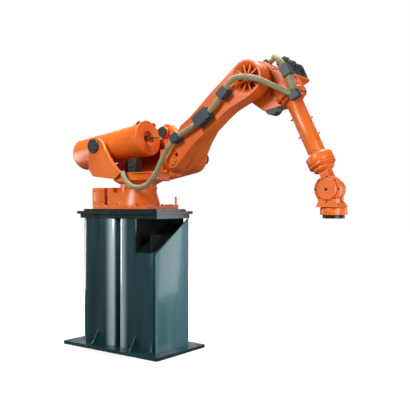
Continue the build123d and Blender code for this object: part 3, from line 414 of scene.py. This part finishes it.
def socket_screws(name, body, spots, radius, height):
    """Socket screws, each one standing on a surface that faces along its own third axis."""
    shape = bmesh.new()
    for spot in spots:
        rims = []
        for sides, wide, high in screw_steps:
            ring = bmesh.ops.create_circle(
                shape, segments=sides, radius=radius * wide,
                matrix=spot @ Matrix.Translation((0, 0, height * high)),
            )
            rims.append(list({edge for vert in ring["verts"] for edge in vert.link_edges}))
        for lower, upper in zip(rims, rims[1:]):
            bmesh.ops.bridge_loops(shape, edges=lower + upper)
        bmesh.ops.contextual_create(shape, geom=rims[0])
        bmesh.ops.contextual_create(shape, geom=rims[-1])
    return fit(name, shape, black_steel, body)


foot_spots = [
    Matrix.Translation((foot_middle + share * foot_half, sign * foot_screw_y, mounting_z + foot_boss_top))
    for share in foot_shares for sign in (-1, 1)
]
socket_screws("foot_screws", "pedestal_and_base", foot_spots, 0.0135, 0.010)

# Connector box fittings. A steel lid is screwed to each side of the box, and black nylon sockets for
# the cables stand in a row on its rear face. The nylon is moulded, dark and half matt.
lid_y = 0.246
lid_x = -0.433
lid_z = mounting_z + 0.150
lid_size = (0.150, 0.150, 0.004)
lid_screw_reach = 0.063
socket_x = -0.535
socket_z = mounting_z + 0.165
socket_first = -0.150
socket_pitch = 0.100
near_turn = Matrix.Rotation(math.radians(90), 4, "X")
far_turn = Matrix.Rotation(math.radians(-90), 4, "X")
behind_turn = Matrix.Rotation(math.radians(-90), 4, "Y")
black_plastic = plain_finish("black_nylon", ("1B1F22", "2A3033"), 0.5, 0.0, 0.012, 0.0004)


def block(shape, place, size, edge):
    """A block with rounded edges at a place."""
    sized = place @ Matrix.Diagonal((*size, 1.0))
    made = bmesh.ops.create_cube(shape, size=1.0, matrix=sized)["verts"]
    edges = list({side for vert in made for side in vert.link_edges})
    bmesh.ops.bevel(
        shape, geom=edges, offset=edge, segments=2, affect="EDGES", profile=0.5, material=-1
    )


lids = bmesh.new()
lid_spots = []
for sign, turn in ((-1, near_turn), (1, far_turn)):
    face = Matrix.Translation((lid_x, sign * lid_y, lid_z)) @ turn
    block(lids, face, lid_size, 0.0015)
    for step_x in (-lid_screw_reach, lid_screw_reach):
        for step_z in (-lid_screw_reach, lid_screw_reach):
            lid_spots.append(face @ Matrix.Translation((step_x, step_z, lid_size[2] / 2)))
fit("connector_lids", lids, orange, "pedestal_and_base")
socket_screws("lid_screws", "pedestal_and_base", lid_spots, 0.006, 0.005)
sockets = bmesh.new()
for number in range(4):
    face = Matrix.Translation((socket_x, socket_first + socket_pitch * number, socket_z)) @ behind_turn
    block(sockets, face, (0.060, 0.078, 0.016), 0.004)
    for radius, reach in ((0.026, 0.020), (0.021, 0.030)):
        bmesh.ops.create_cone(
            sockets, cap_ends=True, segments=24, radius1=radius, radius2=radius * 0.96, depth=reach,
            matrix=face @ Matrix.Translation((0, 0, reach / 2)),
        )
fit("connector_sockets", sockets, black_plastic, "pedestal_and_base")

# Turret wall and saddle. Inside the far cheek the casting goes on as a wall up to the post, and a web
# crosses below the balancer's barrel. Both are part of the orange casting, and their faces towards the
# barrel are a darker orange: painted shade, where they lie under the barrel and behind the cheek.
wall_outline = [
    (-0.440, 0.420), (0.325, 0.420), (0.500, 0.440), (0.500, 0.735), (0.322, 0.700), (0.322, 0.850),
    (0.270, 0.862), (0.120, 0.850), (-0.060, 0.760), (-0.230, 0.690), (-0.330, 0.640), (-0.440, 0.600),
]
wall_far = -0.262
wall_near = -0.229
saddle_rear = -0.460
saddle_front = -0.430
saddle_half = 0.261
saddle_foot = 0.391
saddle_rise = 0.640
saddle_middle = 0.758
saddle_radius = 0.213
saddle_steps = 10
# Darker orange for the painted shade on the faces towards the barrel.
shaded_orange_tones = ("6E2208", "92360F")
side_on = Matrix(((1, 0, 0, 0), (0, 0, -1, 0), (0, 1, 0, mounting_z), (0, 0, 0, 1)))
end_on = Matrix(((0, 0, 1, 0), (1, 0, 0, 0), (0, 1, 0, mounting_z), (0, 0, 0, 1)))


def paint_shade_on_face(piece, way):
    """Gives the faces of a plate that look one way a darker orange: painted shade."""
    piece.data.materials.append(shaded_orange)
    for face in piece.data.polygons:
        if face.normal.dot(way) > 0.5:
            face.material_index = 1


shaded_orange = orange_enamel("orange_enamel_painted_shade", shaded_orange_tones)
wall = cut_plate(
    "turret_wall", wall_outline, side_on, wall_far, wall_near, 0.006, orange, "turret"
)
paint_shade_on_face(wall, Vector((0, -1, 0)))
arc = math.acos((saddle_middle - saddle_rise) / saddle_radius)
saddle_outline = [(-saddle_half, saddle_foot), (saddle_half, saddle_foot), (saddle_half, saddle_rise)]
for number in range(saddle_steps + 1):
    turn = arc * (1 - 2 * number / saddle_steps)
    saddle_outline.append((saddle_radius * math.sin(turn), saddle_middle - saddle_radius * math.cos(turn)))
saddle_outline.append((-saddle_half, saddle_rise))
saddle = cut_plate(
    "turret_saddle", saddle_outline, end_on, saddle_rear, saddle_front, 0.004, orange,
    "turret",
)
paint_shade_on_face(saddle, Vector((1, 0, 0)))

# Turret caps and screws. Black nylon caps cover the trunnions and are bolted over the cheeks. The
# bearing of axis 2 is bolted to the far side of the wing.
trunnion_x = -0.450
trunnion_z = 2.408
trunnion_cap_y = 0.328
axis2_x = 0.682
axis2_z = 2.239
wing_far_y = 0.230
cap_edge = 0.002


def ring_of(middle, count, radius, start=0.0):
    """Even places round a circle."""
    return [
        middle @ Matrix.Rotation(math.radians(start + 360 * number / count), 4, "Z")
        @ Matrix.Translation((radius, 0, 0))
        for number in range(count)
    ]


wear_finish(
    black_plastic, ["trunnion_caps", "rod_caps", "flange_clips", "hose_gland", "hose_socket"], cap_edge
)
turret_spots = ring_of(Matrix.Translation((trunnion_x, -trunnion_cap_y, trunnion_z)) @ near_turn, 6, 0.062)
turret_spots += ring_of(Matrix.Translation((trunnion_x, trunnion_cap_y, trunnion_z)) @ far_turn, 6, 0.062)
turret_spots += ring_of(Matrix.Translation((axis2_x, wing_far_y, axis2_z)) @ far_turn, 12, 0.150, 15.0)
socket_screws("turret_screws", "turret", turret_spots, 0.0095, 0.009)

# Motor of axis 1. A servo motor in satin black paint stands on the deck. It has two collars, a bolted
# end cap and a connector block on its near side.
motor_x = 0.104
motor_y = -0.176
motor_top = mounting_z + 0.575
motor_cap_screw = 0.040
motor_edge = 0.003
motor_paint = plain_finish("satin_black_motor_paint", ("171B1C", "262C2D"), 0.42, 0.0, 0.02, 0.0006)
wear_finish(motor_paint, ["axis1_motor", "axis2_motor", "axis3_motor", "rear_motors"], motor_edge)
motor_parts = bmesh.new()
for place, size, edge in (
    ((0, 0, -0.035), (0.124, 0.124, 0.006), 0.002),
    ((0, 0, -0.110), (0.124, 0.124, 0.006), 0.002),
    ((0, 0, 0.003), (0.098, 0.098, 0.010), 0.003),
    ((0, -0.062, -0.070), (0.060, 0.018, 0.044), 0.004),
):
    block(motor_parts, Matrix.Translation(Vector((motor_x, motor_y, motor_top)) + Vector(place)), size, edge)
fit("axis1_motor_fittings", motor_parts, motor_paint, "turret")
cap_spots = [
    Matrix.Translation((motor_x + step_x, motor_y + step_y, motor_top + 0.008))
    for step_x in (-motor_cap_screw, motor_cap_screw) for step_y in (-motor_cap_screw, motor_cap_screw)
]
socket_screws("axis1_motor_screws", "turret", cap_spots, 0.005, 0.004)

# Motor of axis 2. It stands out from the far side of the wing, with ribs round its body and an end cap.
rib_places = (0.262, 0.300, 0.338, 0.376)
motor_ribs = bmesh.new()
for rib_y in rib_places:
    bmesh.ops.create_cone(
        motor_ribs, cap_ends=True, segments=48, radius1=0.0745, radius2=0.0745, depth=0.012,
        matrix=Matrix.Translation((axis2_x, rib_y, axis2_z)) @ far_turn,
    )
bmesh.ops.create_cone(
    motor_ribs, cap_ends=True, segments=48, radius1=0.058, radius2=0.055, depth=0.016,
    matrix=Matrix.Translation((axis2_x, 0.403, axis2_z)) @ far_turn,
)
fit("axis2_motor_ribs", motor_ribs, motor_paint, "turret")

# Balancer. The rod is ground steel, bright and smooth, and a ring of socket screws closes the barrel's
# front flange.
rod_pin_x = 0.46567
rod_pin_z = 2.53305
flange_along = 0.560
balancer_heading = math.degrees(math.atan2(rod_pin_x - trunnion_x, rod_pin_z - trunnion_z))
ahead_turn = Matrix.Rotation(math.radians(90), 4, "Y")


def tilted(x, z, heading):
    """The frame of a piece seen from the side: along it, to its side, and out of the near face."""
    turn = math.radians(heading)
    return Matrix((
        (math.sin(turn), -math.cos(turn), 0.0, x),
        (0.0, 0.0, -1.0, 0.0),
        (math.cos(turn), math.sin(turn), 0.0, z),
        (0.0, 0.0, 0.0, 1.0),
    ))


ground_steel = plain_finish("ground_steel_rod", ("8A8C8E", "A4A6A8"), 0.25, 1.0, 0.01, 0.0002)
wear_finish(ground_steel, ["balancer_rod"])
barrel = tilted(trunnion_x, trunnion_z, balancer_heading)
flange_face = barrel @ Matrix.Translation((flange_along, 0, 0)) @ ahead_turn
socket_screws("flange_screws", "balancer", ring_of(flange_face, 12, 0.188, 15.0), 0.0095, 0.008)

# Lower arm. Small socket screws hold the cover of the axis 2 bearing and the hub in the elbow dish.
# The hose clamps are moulded from slate grey nylon.
lower_arm_heading = 54.6
lower_arm_length = 1.268
cover_middle = (0.040, -0.095, 0.304)
hub_front = 0.248
clamp_edge = 0.003
slate_plastic = plain_finish("slate_nylon_clamp", ("202830", "2E3842"), 0.48, 0.0, 0.015, 0.0004)
wear_finish(slate_plastic, ["arm_hose_clamps", "upper_hose_clamps"], clamp_edge)
arm = tilted(axis2_x, axis2_z, lower_arm_heading)
arm_spots = ring_of(arm @ Matrix.Translation(cover_middle), 6, 0.044)
arm_spots += ring_of(arm @ Matrix.Translation((lower_arm_length, 0, hub_front)), 6, 0.034)
socket_screws("lower_arm_screws", "lower_arm", arm_spots, 0.006, 0.006)

# Upper arm. The tube is bolted to the elbow casting round its root ring, and a round cover closes the
# far side of the elbow.
elbow_x = 1.71558
elbow_z = 2.97353
forearm_heading = 154.2
root_ring_front = (0.350, 0.246, 0.0)
far_cover = (0.0, 0.0, -0.172)
elbow = tilted(elbow_x, elbow_z, forearm_heading)
upper_spots = ring_of(elbow @ Matrix.Translation(root_ring_front) @ ahead_turn, 12, 0.142, 15.0)
upper_spots += ring_of(elbow @ Matrix.Translation(far_cover) @ Matrix.Rotation(math.pi, 4, "X"), 12, 0.130)
socket_screws("upper_arm_screws", "upper_arm", upper_spots, 0.0085, 0.008)

# Rear motors. Three black servo motors stand side by side on a plate behind the elbow. Each has two
# collars, a bolted end cap and a connector block on top.
rear_motor_side = 0.337
rear_motor_end = -0.030
rear_motor_step = 0.018
rear_motor_first = 0.054
rear_motor_pitch = 0.122
rear_cap_screw = 0.037
rear_fittings = bmesh.new()
rear_spots = []
for number in range(3):
    middle = elbow @ Matrix.Translation((
        rear_motor_end + rear_motor_step * number,
        rear_motor_side,
        rear_motor_first - rear_motor_pitch * number,
    ))
    for place, size, edge in (
        ((0.030, 0, 0), (0.006, 0.117, 0.117), 0.002),
        ((0.105, 0, 0), (0.006, 0.117, 0.117), 0.002),
        ((-0.002, 0, 0), (0.012, 0.092, 0.092), 0.003),
        ((0.066, 0.060, 0), (0.048, 0.014, 0.052), 0.004),
    ):
        block(rear_fittings, middle @ Matrix.Translation(place), size, edge)
    back = middle @ Matrix.Translation((-0.008, 0, 0)) @ behind_turn
    for step_x in (-rear_cap_screw, rear_cap_screw):
        for step_y in (-rear_cap_screw, rear_cap_screw):
            rear_spots.append(back @ Matrix.Translation((step_x, step_y, 0)))
fit("rear_motor_fittings", rear_fittings, motor_paint, "upper_arm")
socket_screws("rear_motor_screws", "upper_arm", rear_spots, 0.005, 0.004)

# Wrist. Eight socket screws stand round the cover of the bending joint, and a plug closes its middle.
# The tool flange is blackened steel like the screws.
wrist_x = 2.53420
wrist_z = 1.84536
disc_y = -0.150
cover_y = -0.164
wear_finish(black_steel, ["tool_flange"], 0.001)
disc_face = Matrix.Translation((wrist_x, disc_y, wrist_z)) @ near_turn
socket_screws("wrist_screws", "wrist_bend", ring_of(disc_face, 8, 0.1195), 0.0068, 0.005)
socket_screws(
    "wrist_plug", "wrist_bend", [Matrix.Translation((wrist_x, cover_y, wrist_z)) @ near_turn], 0.014, 0.005
)


# Hoses. Ribbed beige plastic hoses protect the cables. One hangs in a loop from the turret to the lower
# arm, one lies in the clamps along it, one loops over the elbow, and the last runs up through two
# clamps on the upper arm and round behind the elbow into its socket.
hose_width = 0.058
rib_pitch = 0.016
rib_depth = 0.0022
steps_per_rib = 4
ring_sides = 18
turret_loop = [
    (0.0350, -0.3020, 2.0750), (0.0600, -0.3220, 2.0320), (0.1180, -0.3380, 1.9680),
    (0.2050, -0.3450, 1.9120), (0.3200, -0.3520, 1.8860), (0.4400, -0.3570, 1.9120),
    (0.5450, -0.3620, 1.9800), (0.6200, -0.3660, 2.0750), (0.6720, -0.3680, 2.1700),
    (0.7350, -0.3660, 2.2720), (0.7980, -0.3570, 2.3560), (0.8626, -0.3450, 2.4164),
]
arm_run = [
    (0.8626, -0.3450, 2.4164), (0.9749, -0.3450, 2.4742), (1.1076, -0.3450, 2.5292),
    (1.2234, -0.3450, 2.6078), (1.3538, -0.3450, 2.6919), (1.4162, -0.3450, 2.7681),
    (1.4873, -0.3450, 2.8321),
]
elbow_loop = [
    (1.4873, -0.3450, 2.8321), (1.5268, -0.3520, 2.8835), (1.5846, -0.3680, 2.9369),
    (1.6666, -0.3800, 2.9682), (1.7637, -0.3820, 2.9611), (1.8612, -0.3700, 2.9396),
    (1.9451, -0.3420, 2.9060), (2.0191, -0.2980, 2.8641), (2.0892, -0.2430, 2.8207),
    (2.1469, -0.1920, 2.7844), (2.2039, -0.1680, 2.7675),
]
upper_run = [
    (2.2039, -0.1680, 2.7675), (2.1947, -0.1720, 2.8142), (2.1740, -0.1730, 2.8708),
    (2.1459, -0.1730, 2.9427), (2.1150, -0.1730, 3.0111), (2.0828, -0.1740, 3.0733),
    (2.0325, -0.1720, 3.1267), (1.9705, -0.1250, 3.1723), (1.9208, -0.0700, 3.1993),
    (1.8735, 0.0000, 3.2120), (1.8343, 0.0800, 3.2197), (1.7888, 0.1520, 3.2311),
    (1.7163, 0.2000, 3.2249), (1.6638, 0.2240, 3.1840),
]
hose_tones = ("B3A980", "6F6647")
hose_dust = 0.07
sleeve_width = 0.086


def hose_plastic():
    """Matt beige plastic with a dusty mottle, and painted shade darkening the grooves between its ribs."""
    made, tree, shader, place = finish_of(
        "beige_ribbed_hose", {"Sheen Weight": 0.15, "Specular IOR Level": 0.35}
    )
    groove = add(tree, "ShaderNodeAttribute", {"attribute_name": "groove"})
    dust = add(tree, "ShaderNodeTexNoise", None, {"Vector": place, "Scale": 1 / hose_dust, "Detail": 5.0})
    # Dust noise plus the groove term: every groove gets painted shade, darker in each one alike.
    dust_and_groove_shade = add(
        tree, "ShaderNodeMath", {"operation": "MULTIPLY_ADD"},
        {0: dust.outputs["Fac"], 1: 0.75, 2: groove.outputs["Fac"]},
    )
    tone = two_tones(tree, dust_and_groove_shade.outputs[0], 0.25, 1.35, *hose_tones)
    matt = add(
        tree, "ShaderNodeMapRange", None, {"Value": dust.outputs["Fac"], "To Min": 0.5, "To Max": 0.72}
    )
    tree.links.new(tone, shader.inputs["Base Color"])
    tree.links.new(matt.outputs[0], shader.inputs["Roughness"])
    return made


def route_of(points):
    """The smooth line through a hose's route, read from a NURBS spline with those control points."""
    line = bpy.data.curves.new("route", "CURVE")
    line.dimensions = "3D"
    line.resolution_u = 24
    spline = line.splines.new("NURBS")
    spline.points.add(len(points) - 1)
    for point, spot in zip(spline.points, points):
        point.co = (*spot, 1.0)
    spline.order_u = 3
    spline.use_endpoint_u = True
    holder = bpy.data.objects.new("route", line)
    drawn = bpy.data.meshes.new_from_object(holder)
    spots = [v.co.copy() for v in drawn.vertices]
    bpy.data.objects.remove(holder)
    bpy.data.curves.remove(line)
    bpy.data.meshes.remove(drawn)
    return spots


def spread(spots, step):
    """Places at one even step along a line, and its length."""
    run = [0.0]
    for first, second in zip(spots, spots[1:]):
        run.append(run[-1] + (second - first).length)
    count = max(2, round(run[-1] / step))
    places = []
    at = 0
    for number in range(count + 1):
        want = run[-1] * number / count
        while at < len(spots) - 2 and run[at + 1] < want:
            at += 1
        places.append(spots[at].lerp(spots[at + 1], min(1.0, (want - run[at]) / (run[at + 1] - run[at]))))
    return places, run[-1]


def frames_along(places):
    """A turn and place for each step along a line, each one carried on from the last without twist."""
    side = Vector((0, 1, 0))
    frames = []
    for number, spot in enumerate(places):
        ahead = places[min(number + 1, len(places) - 1)] - places[max(number - 1, 0)]
        ahead.normalize()
        side = (side - ahead * side.dot(ahead)).normalized()
        turn = Matrix((side, ahead.cross(side), ahead)).transposed().to_4x4()
        frames.append(Matrix.Translation(spot) @ turn)
    return frames


def ribbed_hose(name, points, width, finish):
    """A closed tube drawn along a route, with rounded ribs at the real pitch."""
    places, length = spread(route_of(points), rib_pitch / steps_per_rib)
    frames = frames_along(places)
    shape = bmesh.new()
    groove = shape.verts.layers.float.new("groove")
    before = frames[0] @ Matrix.Scale(width / 2, 4)
    bmesh.ops.create_circle(shape, cap_ends=True, segments=ring_sides, radius=1.0, matrix=before)
    edges = shape.edges[:]
    for number, spot in enumerate(frames[1:], 1):
        dip = 0.5 - 0.5 * math.cos(2 * math.pi * number / steps_per_rib)
        after = spot @ Matrix.Scale(width / 2 - dip * rib_depth, 4)
        drawn = bmesh.ops.extrude_edge_only(shape, edges=edges)["geom"]
        rim = [v for v in drawn if isinstance(v, bmesh.types.BMVert)]
        edges = [e for e in drawn if isinstance(e, bmesh.types.BMEdge)]
        bmesh.ops.transform(shape, matrix=after @ before.inverted(), verts=rim)
        for vert in rim:
            vert[groove] = dip
        before = after
    bmesh.ops.contextual_create(shape, geom=edges)
    bmesh.ops.recalc_face_normals(shape, faces=shape.faces[:])
    for face in shape.faces:
        face.smooth = len(face.verts) == 4
    mesh = bpy.data.meshes.new(name)
    shape.to_mesh(mesh)
    shape.free()
    mesh.materials.append(finish)
    piece = bpy.data.objects.new(name, mesh)
    bpy.context.scene.collection.objects.link(piece)
    return piece, [tuple(p) for p in places], length


hose_finish = hose_plastic()
turret_hose, turret_path, turret_length = ribbed_hose(
    "ribbed_hose_turret", turret_loop, hose_width, hose_finish
)
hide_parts("hose_turret_loop")
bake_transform(turret_hose)
arm_hose, arm_path, arm_length = ribbed_hose(
    "ribbed_hose_arm", arm_run, hose_width, hose_finish
)
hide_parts("hose_arm")
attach(arm_hose, "lower_arm")
elbow_hose, elbow_path, elbow_length = ribbed_hose(
    "ribbed_hose_elbow", elbow_loop, hose_width, hose_finish
)
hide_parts("hose_elbow_loop")
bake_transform(elbow_hose)
upper_hose, upper_path, upper_length = ribbed_hose(
    "ribbed_hose_upper", upper_run, hose_width, hose_finish
)
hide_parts("hose_upper")
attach(upper_hose, "upper_arm")
sleeve = ribbed_hose("hose_sleeve", upper_run[1:4], sleeve_width, hose_finish)[0]
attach(sleeve, "upper_arm")
